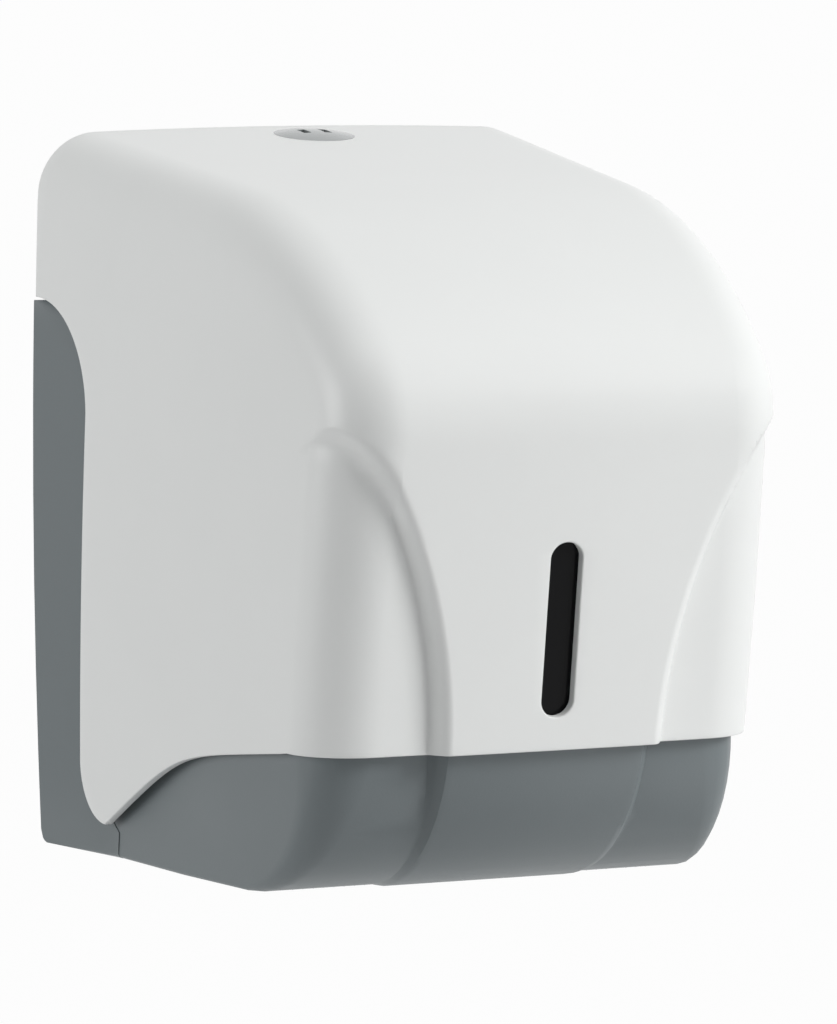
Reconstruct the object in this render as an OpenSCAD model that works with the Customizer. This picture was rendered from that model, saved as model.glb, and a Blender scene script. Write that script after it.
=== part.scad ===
// Wall-mounted toilet paper dispenser: a grey base with a shallow tray, a white cover hinged
// low on both sides, a lock on top and a sprung roll spindle inside. Sizes in mm, +Z up,
// the wall is the plane y = 0 and the front faces -Y. Points in the side view are written
// as [depth from the wall, height above the base's underside].

/* [Case] */
// height of the case at the wall
case_h = 199.8; // [198:0.2:204]
// width of the case at the wall, at mid height
case_w = 156.6; // [155:0.2:160]
// depth from the wall to the nose of the cover
case_d = 184.2; // [182:0.2:188]
// narrowing of each side wall, per mm of depth
side_taper = 0.076; // [0.072:0.001:0.079]
// bulge of each side wall at mid height
side_bulge = 2; // [1.7:0.1:2.2]
// roundness of the front across its width
front_crown = 1.6; // [1.2:0.1:2]
// thickness of the cover
cover_wall = 2.5; // [2.3:0.1:2.6]
// gap between the cover's back edge and the wall
wall_gap = 0.8; // [0.6:0.1:1.2]

/* [Cover profile] */
// fall of the top towards the front, in degrees
top_slope = 7.2; // [6.7:0.1:7.7]
// angle at which the brow meets the nose, in degrees
turn_mid = 45.2; // [44:0.2:47]
// radius of the nose
nose_r = 31.3; // [30.3:0.5:33.3]
// radius of the brow between the top and the nose
brow_r = 132; // [129:1:136]
// lean of the front below the nose, in degrees
front_lean = 8.3; // [7.8:0.1:8.8]
// height of the cover's front bottom edge
edge_z = 41; // [40.3:0.1:42.3]
// corner radius of the top edge at the wall
shoulder_back_r = 17.2; // [15.7:0.5:18.7]
// corner radius of the front's upright edges
shoulder_front_r = 17.8; // [17.2:0.2:18.6]

/* [Front panel] */
// half width of the raised panel at its bottom
panel_half_w = 31.2; // [30:0.2:32]
// radius of the panel's flaring sides
panel_arc_r = 153; // [147:2:161]
// height at which the panel begins to flare
panel_arc_z = 39.4; // [38.4:0.5:41.4]
// height of the raised panel over the side panels, at the bottom
step_low = 5.3; // [4.9:0.1:5.4]
// height of the raised panel over the side panels, under the nose
step_high = 4.8; // [4.5:0.1:5.2]
// steepness of the step between them
step_grade = 2.1; // [1.9:0.05:2.2]
// roundness of the raised panel's edge
step_soft = 4.2; // [3.8:0.2:4.6]

/* [Side outline] */
// depth of the cover's hinge axis
hinge_d = 40.2; // [39.4:0.2:41]
// height of the cover's hinge axis
hinge_z = 25.2; // [24.8:0.2:26]
// reach of the cover's rounded hinge ear behind its axis
ear_run = 14; // [13.5:0.1:14.5]
// drop of the ear's tip below its axis
ear_drop = 15.8; // [15.4:0.1:16.1]
// height at which the cover's back edge leaves the wall
strip_top_z = 153; // [151:0.2:155]
// height of the rounded upper end of the grey strip
strip_arc_h = 31; // [29:0.5:33]
// depth of the grey strip below its rounded end
strip_d = 32.6; // [32:0.1:33.2]
// rise of the cover's lower edge in front of the ear, per mm of depth
wave_slope = 0.56; // [0.54:0.01:0.58]
// rise of the cover's lower edge further forward, per mm of depth
wave_fall = 0.115; // [0.11:0.005:0.125]
// softness of the bend between the two
wave_soft = 3.8; // [3.6:0.2:4.4]

/* [Base] */
// thickness of the tray and its side walls
base_wall = 2.5; // [2.3:0.1:2.7]
// thickness of the back plate
plate_t = 3; // [2.8:0.1:3.4]
// set-back of the base's side behind the cover's outer face, near the hinge
inset_hinge = 5; // [5:0.1:5.2]
// set-back of the base's side behind the cover's outer face, near the front
inset_front = 3.3; // [3.3:0.1:3.6]
// set-back of the base's side at its underside
inset_low = 3.4; // [3.4:0.1:3.6]
// set-back of the tray's front behind the cover's front
tray_gap = 4; // [4:0.1:4.4]
// radius of the tray's front underside
tray_arc_r = 53; // [51:1:54]
// turn of that arc, in degrees
tray_turn = 77; // [76:1:78]
// height of the tray's raised centre over its sides
tray_step = 5.6; // [5.5:0.1:5.8]
// corner radius of the tray
tray_corner_r = 15.5; // [15.1:0.2:16.5]
// height of the tray's lip behind the cover
lip_h = 3.5; // [3:0.5:4]
// gap between the back plate's upper edge and the cover
plate_gap = 2; // [1.5:0.1:2.5]

/* [Wall screws] */
// distance between the wall screws across the case
screw_span_x = 90; // [86:1:92]
// distance between the wall screws up the case
screw_span_z = 100; // [98:1:104]
// radius of the wall screw holes
screw_hole_r = 2.6; // [2.4:0.1:3]
// radius of the pads round the wall screw holes
screw_pad_r = 7; // [6.5:0.5:8]
// height of those pads
screw_pad_h = 1.6; // [1.2:0.2:2]

/* [Outlet and tear bar] */
// length of the paper outlet from back to front
outlet_l = 55; // [50:1:58]
// thickness of the tear bar
tear_t = 0.8; // [0.6:0.1:1]
// height of the tear bar
tear_h = 10; // [9:0.5:11]
// pitch of its teeth
tooth_pitch = 3; // [2.5:0.5:4]
// height of its teeth
tooth_h = 1.6; // [1.2:0.1:2]
// radius of the tear bar's screws
tear_screw_r = 1.25; // [1.1:0.05:1.4]
// half distance between the tear bar's screws
tear_screw_x = 42; // [38:1:46]

/* [Roll holder] */
// depth of the roll spindle
spindle_d = 84; // [82:1:86]
// height of the roll spindle
spindle_z = 104; // [102:1:106]
// distance from the case's side at the wall to the near face of an arm
arm_side_gap = 24.1; // [23.6:0.5:25.1]
// thickness of an arm
arm_t = 4; // [3.5:0.5:4.5]
// length of an arm's bearing boss
arm_boss_l = 6; // [5.5:0.5:6.5]
// radius of an arm's bearing boss
arm_boss_r = 10; // [9:0.5:11]
// half height of an arm at its foot
arm_foot_h = 24; // [23:1:26]
// half distance between an arm's screws
arm_screw_z = 18; // [17:0.5:18.5]
// height of the base's bosses behind the arms
arm_stand_h = 6; // [5:0.5:7]
// radius of the arm screws
arm_screw_r = 1.75; // [1.6:0.05:1.9]
// radius of the spindle's bearing pins
pin_r = 4; // [3.6:0.1:4.4]
// running clearance of the bearing pins
pin_play = 0.06; // [0.04:0.01:0.08]
// radius of the spindle's outer half
tube_r = 11; // [10.5:0.5:12]
// radius of the spindle's inner half
core_r = 8.5; // [8:0.1:8.7]
// running clearance between the halves
core_play = 0.08; // [0.05:0.01:0.1]
// travel of the inner half
spindle_travel = 7; // [6.5:0.5:8]

/* [Lock and latch] */
// depth of the lock's middle
lock_d = 17.5; // [17:0.5:18.5]
// radius of the lock's bezel
lock_r = 11.5; // [11:0.5:12]
// height of the bezel's dome
lock_dome_h = 1.2; // [1:0.1:1.4]
// radius of the bezel's stem
lock_stem_r = 7.5; // [7:0.5:8]
// length of the bezel's stem
lock_stem_l = 8; // [7:0.5:9]
// half distance between the two key slots
key_x = 3.2; // [2.8:0.1:3.4]
// depth of the latch's pivot
latch_d = 10; // [9.5:0.5:10.5]
// height of the latch's pivot below the top of the case
latch_drop = 23; // [22.5:0.5:24]
// radius of the latch's pin
latch_pin_r = 2; // [1.8:0.1:2.2]
// half width of the latch
latch_half_w = 11; // [10:0.5:12]
// depth of the front of the catch rib on the cover
catch_d = 38.5; // [38:0.5:39]

/* [Sight window] */
// half width of the sight slot
slot_half_w = 4.6; // [4.2:0.1:5]
// length of the sight slot
slot_l = 47; // [46:0.5:49]
// height of the slot's middle
slot_z = 73.1; // [71.5:0.2:74.5]
// thickness of the window
window_t = 2; // [1.6:0.1:2.4]

/* [Hidden] */
$fn = 48;

// shared small sizes
eps = 0.5;
seat = 0.02;
bury = 0.8;
mount_z = case_h / 2;

// rows along the cover and points across it
top_n = 4;
brow_n = 6;
nose_n = 9;
front_n = 15;
round_turns = [0, 20, 40, 60, 75, 90];
side_n = 6;
tray_arc_n = 11;
tray_floor_n = 3;

// cover profile
line_d = case_d - nose_r + (nose_r - brow_r) * sin(turn_mid) + brow_r * sin(top_slope);
nose_z = case_h - line_d * tan(top_slope) - (nose_r - brow_r) * cos(turn_mid) - brow_r * cos(top_slope);
nose_c = [case_d - nose_r, nose_z];
brow_c = nose_c + (nose_r - brow_r) * [sin(turn_mid), cos(turn_mid)];
lean_turn = 90 + front_lean;
step_tuck = 0.6;
corner_thin = 0.7;
crease_soft = 1.2;
soft_least = 0.01;
// where points sit across the step, as shares of its softness or its run, and beside the crease
edge_marks = [-0.6, -0.2, 0.2];
run_mark = 0.6;
crease_marks = [-0.4, 0.4];
out_mark = 0.6;
run_least = 1.6;
// shares of the back edge taken by the strip's arc and by the straight below it
arc_share = 0.35;
straight_share = 0.4;
ear_share = 1 - arc_share - straight_share;

// tray profile
tray_front = front_pt(edge_z, 0)[0] - tray_gap;
tray_c = [tray_front - tray_arc_r * sin(tray_turn), tray_arc_r];
lip_z = edge_z + lip_h;
tray_rim_share = 0.75;
tray_rim_d = tray_rim_share * tray_front;
tray_floor_r = 1.2;
tray_tuck = 2;
tray_step_least = 0.11;
floor_fade = 3;
inset_rise = 20;
inset_from_d = 60;
inset_run = 50;

// strip and side flange
ear_tip = [hinge_d, hinge_z - ear_drop];
strip_c = [wall_gap, strip_top_z - strip_arc_h];
strip_a = strip_d - wall_gap;
flange_in = 0.6;
flange_lap = 8;
flange_d = strip_d + flange_lap;
flange_rise = 10;
flange_top = strip_top_z + flange_rise;
flange_root = 6;
flange_n = 6;
flange_t = 2.1;
flush_gap = 0.2;
strip_gap = 0.7;
strip_body = 1;
strip_lap = 2;
strip_round = 3.4;
strip_low_marks = [-0.03, 0.1, 0.3, 1];
plate_foot = 1.4;
tray_back_lead = 1.2;
tray_back_d = strip_round + tray_back_lead;
rail_low = 0.7;
rail_high = 1.9;
rail_lap = 2;
plate_inset = 0.8;
plate_half_w = side_x([0, 0]) - inset_hinge - flange_in - plate_inset;

// hinge
ear_x = side_x([hinge_d, hinge_z]);
ear_boss_r = 5.5;
ear_boss_h = 0.9;
ear_boss_x = ear_x - cover_wall - ear_boss_h;
hinge_pin_r = 2.5;
hinge_play = 0.05;
ear_skin = 1;
tip_gap = 0.2;
pin_tip_x = ear_x - ear_skin - tip_gap;
pin_boss_r = 6;
pin_boss_l = 8;
pin_head_r = 4;
pin_head_l = 2;
boss_bury = 2;
boss_short = 0.6;
pin_boss_x = ear_x - inset_hinge - base_wall - pin_boss_l + boss_bury;

// roll holder
roll_half_w = case_w / 2 - arm_side_gap;
arm_in_x = roll_half_w;
arm_out_x = roll_half_w + arm_boss_l;
arm_foot_d = plate_t + arm_stand_h;
arm_foot_t = 4;
arm_foot_w = 14;
arm_screw_in = 5;
arm_screw_x = arm_out_x - arm_foot_w + arm_screw_in;
stand_r = 5;
arm_head_r = 3.6;
arm_head_l = 2.4;
arm_bite = 5;
arm_shank_l = arm_foot_t + arm_bite;
screw_play = 0.2;
web_short = 0.4;
shoulder_gap = 0.2;
spindle_end = roll_half_w - shoulder_gap;
pin_short = 0.8;
spindle_pin_l = arm_boss_l - pin_short;
cap_l = 13;
tube_split_x = spindle_end - cap_l - spindle_travel - shoulder_gap;
core_start_x = -8;
end_t = 3;
core_wall = 2;
spring_wire = 0.5;
spring_turns = 9;
spring_room = 3;
spring_r = core_r - spring_room;

// lock, latch
lock_p = top_pt(lock_d, 0);
lock_stem_wall = 2;
dome_fn = 180;
lock_bore_r = lock_stem_r - lock_stem_wall;
lock_play = 0.1;
ring_w = 3;
ring_r = lock_stem_r + ring_w;
ring_t = 1.2;
ring_gap = 0.1;
key_cut = 1;
key_w = 1.1;
key_l = 2.8;
latch_z = case_h - latch_drop;
latch_barrel_r = 4.5;
latch_play = 0.05;
latch_arm_t = 3;
latch_arm_rise = 2.5;
latch_arm_z = latch_z + latch_arm_rise;
catch_t = 2.5;
catch_half_w = 12;
catch_h = 6;
catch_low = top_pt(catch_d, cover_wall)[1] - catch_h;
tooth_gap = 1;
tooth_len = 3.5;
tooth_clear = 0.4;
tooth_top = catch_low - tooth_clear;
lug_gap = 0.4;
lug_t = 3;
lug_r = 6;
shelf_drop = 17;
shelf_z = latch_z - shelf_drop;
shelf_t = 3;
shelf_half_w = 7;
latch_spring_r = 3.6;
latch_spring_d = 27;
latch_spring_turns = 5;

// window
window_lap_x = 7;
window_lap_z = 3.4;
window_half_w = slot_half_w + window_lap_x;
window_half_l = slot_l / 2 + window_lap_z;
peg_r = 1.5;
peg_play = 0.1;
peg_off = 3.6;
peg_x = slot_half_w + peg_off;
peg_l = 3.2;
window_gap = seat + front_crown * pow(2 * window_half_w / case_w, 2);

// outlet and tear bar
outlet_side_gap = 1;
outlet_half_w = roll_half_w + outlet_side_gap;
outlet_lead = 5;
outlet_front_d = tray_c[0] + outlet_lead;
outlet_back_d = outlet_front_d - outlet_l;
tear_pad_t = 6.5;
tear_low = 0.7;
tear_pad_h = 12;
tear_pad_sink = 0.3;
tear_hole_share = 0.62;
tear_hole_z = tear_low + tear_hole_share * tear_h;
pad_lap = 3;
tear_side_gap = 1;
tear_shank_l = 5;
tear_head_r = 2.4;
tear_head_l = 1.6;

// small helpers: smooth step, blend, side-view point to space
function ease(t) = let (k = max(0, min(1, t))) k * k * (3 - 2 * k);
function mix(a, b, t) = a + (b - a) * t;
function at(x, p) = [x, -p[0], p[1]];

// half width of the case at a side-view point
function side_x(p) = case_w / 2 - side_taper * p[0] - side_bulge * pow(2 * p[1] / case_h - 1, 2);

// profile of the cover, set in by g
function turn_pt(a, g) = a > turn_mid
  ? nose_c + (nose_r - g) * [sin(a), cos(a)]
  : brow_c + (brow_r - g) * [sin(a), cos(a)];
function top_pt(d, g) = let (q = turn_pt(top_slope, g)) [d, q[1] + (q[0] - d) * tan(top_slope)];
function front_pt(z, g) = let (q = turn_pt(lean_turn, g)) [q[0] - (q[1] - z) * tan(front_lean), z];

// rows of the cover: the place on the profile, the turn of the section and its corner radius
cover_rows = concat(
  [for (i = [0 : top_n - 1]) ["top", i / top_n]],
  [for (i = [0 : brow_n - 1]) ["turn", mix(top_slope, turn_mid, i / brow_n)]],
  [for (i = [0 : nose_n - 1]) ["turn", mix(turn_mid, lean_turn, i / nose_n)]],
  [for (i = [0 : front_n]) ["front", i / front_n]]);
function row_pt(row, g) =
  row[0] == "top" ? top_pt(mix(wall_gap, turn_pt(top_slope, g)[0], row[1]), g)
  : row[0] == "turn" ? turn_pt(row[1], g)
  : front_pt(mix(turn_pt(lean_turn, g)[1], edge_z, row[1]), g);
function row_turn(row) =
  row[0] == "top" ? 0
  : row[0] == "turn" ? min(90, (row[1] - top_slope) * 90 / (90 - top_slope))
  : 90;
function row_r(row, g) = mix(shoulder_back_r, shoulder_front_r, row_turn(row) / 90) - corner_thin * g;

// raised panel: half width at a height, height over the sides, depth of the surface across x
function panel_w(z) =
  let (q = max(0, min(1, (z - panel_arc_z) / panel_arc_r)))
  panel_half_w + panel_arc_r * (1 - sqrt(1 - q * q));
function panel_step(z) = mix(step_low, step_high, (z - edge_z) / (nose_z - edge_z));

// soft maximum and minimum, and the drop of a rounded corner that begins at x = a
function soft_max(a, b, k) = max(a, b) + pow(max(0, k - abs(a - b)), 2) / (4 * k);
function soft_min(a, b, k) = -soft_max(-a, -b, k);
function corner_drop(x, a, r) = x < a ? 0 : r - sqrt(max(0, r * r - pow(x - a, 2)));

// depth of the front under its profile, at x: the raised panel over the side panel
function relief(x, xc, w, s, r) =
  soft_min(max(soft_max(0, (x - w) * step_grade, step_soft), corner_drop(x, xc - r, r)),
           s + corner_drop(x, xc - r, r), max(soft_least, min(crease_soft, s)));

// half of a section: [x, depth under the profile] from the middle to the end of the rounded corner
function half_section(p, n, w, s, r, g, crown) =
  let (x0 = side_x(p) - g,
       xc = side_x(p + n * relief(x0, x0, w, s, r)) - g,
       run = max(run_least, s / step_grade),
       xw = min(w, xc - r - run - step_soft),
       xs = concat([0, xw / 2],
                   [for (k = edge_marks) xw + k * step_soft],
                   [xw + run_mark * run],
                   [for (k = crease_marks) xw + run + k],
                   [xw + run + out_mark * step_soft],
                   [for (a = round_turns) xc - r + r * sin(a)]))
  [for (x = xs) [x, relief(x, xc, w, s, r) + crown * pow(2 * x / case_w, 2)]];

// side wall as a patch between four side-view curves
function patch(b, d, a, c, b0, b1, d0, d1, u, v) =
  (1 - v) * b + v * d + (1 - u) * a + u * c
  - (1 - u) * (1 - v) * b0 - u * (1 - v) * b1 - (1 - u) * v * d0 - u * v * d1;
function both_halves(half) =
  concat([for (i = [len(half) - 1 : -1 : 1]) [-half[i][0], half[i][1], half[i][2]]], half);

// cover's back edge from the wall down to the ear's tip, and its lower edge
function back_edge(u) =
  u < arc_share
  ? let (a = 90 * u / arc_share) strip_c + [strip_a * sin(a), strip_arc_h * cos(a)]
  : u < arc_share + straight_share
  ? mix(strip_c + [strip_a, 0], [hinge_d - ear_run, hinge_z], (u - arc_share) / straight_share)
  : let (a = 90 * (u - arc_share - straight_share) / ear_share)
    [hinge_d, hinge_z] - [ear_run * cos(a), ear_drop * sin(a)];
wave_ref = front_pt(edge_z, 0)[0] - step_low - shoulder_front_r;
function wave_z(d) =
  let (low = ear_tip[1] + wave_slope * (d - ear_tip[0]), high = edge_z - wave_fall * (wave_ref - d))
  -wave_soft * ln(exp(-low / wave_soft) + exp(-high / wave_soft));

// surface of the cover, set in by g, as rows of points from the left edge to the right edge
function cover_grid(g) =
  let (last = len(cover_rows) - 1,
       ps = [for (r = cover_rows) row_pt(r, g)],
       ns = [for (r = cover_rows) -[sin(row_turn(r)), cos(row_turn(r))]],
       hs = [for (i = [0 : last]) half_section(
              ps[i], ns[i], panel_w(ps[i][1]) - step_tuck * g, panel_step(ps[i][1]),
              row_r(cover_rows[i], g), g, front_crown)],
       bs = [for (i = [0 : last]) ps[i] + ns[i] * hs[i][len(hs[i]) - 1][1]],
       b0 = bs[0],
       b1 = bs[last],
       d0 = back_edge(0),
       d1 = back_edge(1))
  [for (i = [0 : last]) let (u = i / last)
    both_halves(concat(
      [for (q = hs[i]) at(q[0], ps[i] + ns[i] * q[1])],
      [for (k = [1 : side_n]) let (v = k / side_n,
          cd = mix(b1[0], d1[0], v),
          c = k == side_n ? d1 : [cd, wave_z(cd)],
          s = patch(bs[i], back_edge(u), mix(b0, d0, v), c, b0, b1, d0, d1, u, v))
        at(side_x(s) - g, s)]))];

// closed skin between an outer and an inner grid of points
module skin(outer, inner) {
  rows = len(outer) - 1;
  cols = len(outer[0]) - 1;
  all = (rows + 1) * (cols + 1);
  function o(i, j) = i * (cols + 1) + j;
  function n(i, j) = all + o(i, j);
  function quad(a, b, c, d) = [[a, b, c], [a, c, d]];
  quads = concat(
    [for (i = [0 : rows - 1], j = [0 : cols - 1])
      each quad(o(i, j), o(i, j + 1), o(i + 1, j + 1), o(i + 1, j))],
    [for (i = [0 : rows - 1], j = [0 : cols - 1])
      each quad(n(i, j), n(i + 1, j), n(i + 1, j + 1), n(i, j + 1))],
    [for (j = [0 : cols - 1]) each quad(o(0, j + 1), o(0, j), n(0, j), n(0, j + 1))],
    [for (j = [0 : cols - 1]) each quad(o(rows, j), o(rows, j + 1), n(rows, j + 1), n(rows, j))],
    [for (i = [0 : rows - 1]) each quad(o(i, 0), o(i + 1, 0), n(i + 1, 0), n(i, 0))],
    [for (i = [0 : rows - 1]) each quad(o(i + 1, cols), o(i, cols), n(i, cols), n(i + 1, cols))]);
  points = concat([for (r = outer) each r], [for (r = inner) each r]);
  polyhedron(points = points, faces = quads, convexity = 10);
}

// tray: rows from the lip down the front, round the arc and back along the floor
function side_inset(p, top) = mix(inset_low, top, ease(p[1] / inset_rise));
function base_inset(p) =
  side_inset(p, mix(inset_hinge, inset_front, ease((p[0] - inset_from_d) / inset_run)));
function arc_pt(a, g) = tray_c + (tray_arc_r - g) * [sin(a), -cos(a)];
tray_rows = concat(
  [["lip", tray_turn]],
  [for (i = [0 : tray_arc_n - 1]) ["arc", tray_turn * (1 - i / tray_arc_n)]],
  [for (i = [0 : tray_floor_n]) ["floor", i / tray_floor_n]]);
function tray_pt(row, g) =
  row[0] == "lip" ? let (q = arc_pt(tray_turn, g)) [q[0] + (lip_z - q[1]) / tan(tray_turn), lip_z]
  : row[0] == "arc" ? arc_pt(row[1], g)
  : [mix(tray_c[0], tray_back_d, row[1]), g];
function tray_turn_of(row) = row[0] == "floor" ? 0 : row[1] * 90 / tray_turn;
function tray_step_share(row) =
  row[0] == "floor" ? tray_step_least * max(0, 1 - floor_fade * row[1])
  : mix(tray_step_least, 1, pow(tray_turn_of(row) / 90, 2));
function tray_grid(g) =
  let (last = len(tray_rows) - 1,
       ps = [for (r = tray_rows) tray_pt(r, g)],
       ns = [for (r = tray_rows) [-sin(tray_turn_of(r)), cos(tray_turn_of(r))]],
       hs = [for (i = [0 : last]) half_section(
              ps[i], ns[i], panel_half_w - tray_tuck - step_tuck * g,
              tray_step * tray_step_share(tray_rows[i]),
              mix(tray_floor_r, tray_corner_r, tray_turn_of(tray_rows[i]) / 90) - corner_thin * g,
              g + base_inset(ps[i]), 0)],
       bs = [for (i = [0 : last]) ps[i] + ns[i] * hs[i][len(hs[i]) - 1][1]],
       b0 = bs[0],
       b1 = bs[last],
       d0 = [tray_rim_d, lip_z],
       d1 = [tray_back_d, lip_z])
  [for (i = [0 : last]) let (u = i / last)
    both_halves(concat(
      [for (q = hs[i]) at(q[0], ps[i] + ns[i] * q[1])],
      [for (k = [1 : side_n]) let (v = k / side_n,
          s = patch(bs[i], mix(d0, d1, u), mix(b0, d0, v), mix(b1, d1, v), b0, b1, d0, d1, u, v))
        at(side_x(s) - base_inset(s) - g, s)]))];

// depth of the cover's back edge at a height
function edge_d(z) =
  z > strip_c[1] ? strip_c[0] + strip_a * sqrt(max(0, 1 - pow((z - strip_c[1]) / strip_arc_h, 2)))
  : z > hinge_z ? mix(hinge_d - ear_run, strip_d, (z - hinge_z) / (strip_c[1] - hinge_z))
  : hinge_d - ear_run * sqrt(max(0, 1 - pow((z - hinge_z) / ear_drop, 2)));

// grey strip: flush with the cover at the wall, sweeping in under the cover's edge
strip_zs = concat(
  [for (z = strip_low_marks) z * strip_round],
  [for (i = [1 : 6]) mix(strip_round, hinge_z, i / 6)],
  [for (i = [1 : 4]) mix(hinge_z, strip_c[1], i / 4)],
  [for (a = [15, 30, 45, 58, 68, 76]) strip_c[1] + strip_arc_h * sin(a)]);
strip_us = [0, 0.12, 0.3, 0.5, 0.7, 0.86, 1];
function strip_back(z) = z < strip_round ? strip_round - sqrt(max(0, 2 * strip_round * z - z * z)) : 0;
function strip_inset(z) =
  side_inset([0, z], inset_hinge) - flush_gap + corner_drop(tray_floor_r - z, 0, tray_floor_r);
function strip_row(z, inner) =
  let (full = edge_d(z) - strip_gap, back = strip_back(z))
  [for (u = [for (i = [len(strip_us) - 1 : -1 : 0]) strip_us[i]], lap = u == 1 ? [0, 1] : [1])
    let (d = u == 1 && lap == 0 ? full + strip_lap : mix(back, full, u), p = [d, z])
    at(side_x(p) - (inner ? inset_hinge + flange_in + strip_body : strip_inset(z) * u), p)];
function strip_grid(inner) = [for (i = [len(strip_zs) - 1 : -1 : 0]) strip_row(strip_zs[i], inner)];

// side flange of the base, hidden behind the cover
function flange_grid(g) =
  [for (i = [flange_n : -1 : 0]) let (z = mix(lip_z - flange_root, flange_top, i / flange_n))
    [for (d = [flange_d, strip_d / 2, plate_t / 2])
      at(side_x([d, z]) - inset_hinge - flange_in - g, [d, z])]];
function mirrored(grid) =
  [for (r = grid) [for (i = [len(r) - 1 : -1 : 0]) [-r[i][0], r[i][1], r[i][2]]]];

// box, rod along X and rod along the depth, all in side-view terms
module box(x0, x1, d0, d1, z0, z1) {
  translate([x0, -d1, z0])
    cube([x1 - x0, d1 - d0, z1 - z0]);
}
module rod_x(x0, x1, p, r) {
  translate(at(min(x0, x1), p))
    rotate([0, 90, 0])
      cylinder(h = abs(x1 - x0), r = r);
}
module rod_d(x, z, d0, d1, r) {
  translate([x, -d0, z])
    rotate([90, 0, 0])
      cylinder(h = d1 - d0, r = r);
}
module rounded_plate(w, z0, z1, r, t) {
  rotate([90, 0, 0])
    linear_extrude(t)
      union() {
        translate([-w, z0])
          square([2 * w, z1 - z0 - r]);
        translate([-w + r, z0])
          square([2 * (w - r), z1 - z0]);
        for (s = [-1, 1])
          translate([s * (w - r), z1 - r])
            circle(r);
      }
}

// wound wire from z = 0 to z = h, centred on the Z axis
module coil(r, wire, turns, h) {
  per_turn = 14;
  ring = 6;
  steps = per_turn * turns;
  rise = h - 2 * wire;
  pts = [for (i = [0 : steps], j = [0 : ring - 1])
    let (a = 360 * i / per_turn, b = 360 * j / ring, q = r + wire * cos(b))
    [q * cos(a), q * sin(a), wire + rise * i / steps + wire * sin(b)]];
  sides = [for (i = [0 : steps - 1], j = [0 : ring - 1])
    let (a = i * ring + j, b = i * ring + (j + 1) % ring)
    each [[a, b, b + ring], [a, b + ring, a + ring]]];
  ends = concat(
    [for (j = [1 : ring - 2]) [0, j + 1, j]],
    [for (j = [1 : ring - 2]) [steps * ring, steps * ring + j, steps * ring + j + 1]]);
  polyhedron(points = pts, faces = concat(sides, ends), convexity = 10);
}

module base() {
  color("slategray")
    difference() {
      union() {
        skin(tray_grid(0), tray_grid(base_wall));
        box(-plate_half_w, plate_half_w, plate_t / 2, tray_back_d + rail_lap, rail_low, rail_high);
        rounded_plate(plate_half_w, plate_foot,
                      top_pt(plate_t, cover_wall)[1] - plate_gap,
                      shoulder_back_r - cover_wall - plate_gap, plate_t);
        skin(flange_grid(0), flange_grid(flange_t));
        skin(mirrored(flange_grid(0)), mirrored(flange_grid(flange_t)));
        skin(strip_grid(false), strip_grid(true));
        skin(mirrored(strip_grid(false)), mirrored(strip_grid(true)));
        for (sx = [-1, 1]) {
          rod_x(sx * pin_boss_x, sx * (pin_boss_x + pin_boss_l - boss_short), [hinge_d, hinge_z],
                pin_boss_r);
          for (sz = [-1, 1]) {
            rod_d(sx * arm_screw_x, spindle_z + sz * arm_screw_z, plate_t - eps, arm_foot_d, stand_r);
            rod_d(sx * screw_span_x / 2, mount_z + sz * screw_span_z / 2, plate_t - eps,
                  plate_t + screw_pad_h, screw_pad_r);
          }
          lug(sx);
        }
        box(-shelf_half_w, shelf_half_w, plate_t - eps, latch_spring_d + shelf_half_w,
            shelf_z - shelf_t, shelf_z);
        box(-outlet_half_w - pad_lap, outlet_half_w + pad_lap, outlet_front_d,
            outlet_front_d + tear_pad_t, base_wall - tear_pad_sink, tear_pad_h);
      }
      for (sx = [-1, 1]) {
        rod_x(sx * (pin_boss_x - eps), sx * ear_x, [hinge_d, hinge_z], hinge_pin_r);
        rod_d(sx * tear_screw_x, tear_hole_z, outlet_front_d - eps,
              outlet_front_d + tear_shank_l + eps, tear_screw_r);
        rod_x(sx * (latch_half_w - eps), sx * (latch_half_w + lug_gap + lug_t + eps), [latch_d, latch_z],
              latch_pin_r);
        for (sz = [-1, 1]) {
          rod_d(sx * arm_screw_x, spindle_z + sz * arm_screw_z, arm_foot_d - arm_shank_l + arm_foot_t - eps,
                arm_foot_d + eps, arm_screw_r);
          rod_d(sx * screw_span_x / 2, mount_z + sz * screw_span_z / 2, -eps, plate_t + screw_pad_h + eps,
                screw_hole_r);
        }
      }
      box(-outlet_half_w, outlet_half_w, outlet_back_d, outlet_front_d, -eps, base_wall + tray_step);
    }
}

module lug(sx) {
  x0 = latch_half_w + lug_gap;
  rod_x(sx * x0, sx * (x0 + lug_t), [latch_d, latch_z], lug_r);
  box(sx > 0 ? x0 : -x0 - lug_t, sx > 0 ? x0 + lug_t : -x0, plate_t - eps, latch_d,
      latch_z - lug_r, latch_z + lug_r);
}

module cover() {
  color("white")
    difference() {
      union() {
        skin(cover_grid(0), cover_grid(cover_wall));
        for (sx = [-1, 1])
          rod_x(sx * ear_boss_x, sx * (ear_x - cover_wall + boss_short), [hinge_d, hinge_z], ear_boss_r);
        box(-catch_half_w, catch_half_w, catch_d - catch_t, catch_d, catch_low,
            top_pt(catch_d, cover_wall)[1] + bury);
        for (s = [-1, 1])
          window_frame()
            translate([s * peg_x, 0, -bury])
              cylinder(h = peg_l + bury, r = peg_r);
      }
      for (sx = [-1, 1])
        rod_x(sx * (ear_boss_x - eps), sx * (ear_x - ear_skin), [hinge_d, hinge_z],
              hinge_pin_r + hinge_play);
      window_frame()
        translate([0, 0, -cover_wall - step_high])
          slot_shape(slot_half_w, slot_l, cover_wall + step_high + eps);
      lock_frame()
        translate([0, 0, -lock_stem_l])
          cylinder(h = 2 * lock_stem_l, r = lock_stem_r + lock_play);
    }
}

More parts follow.
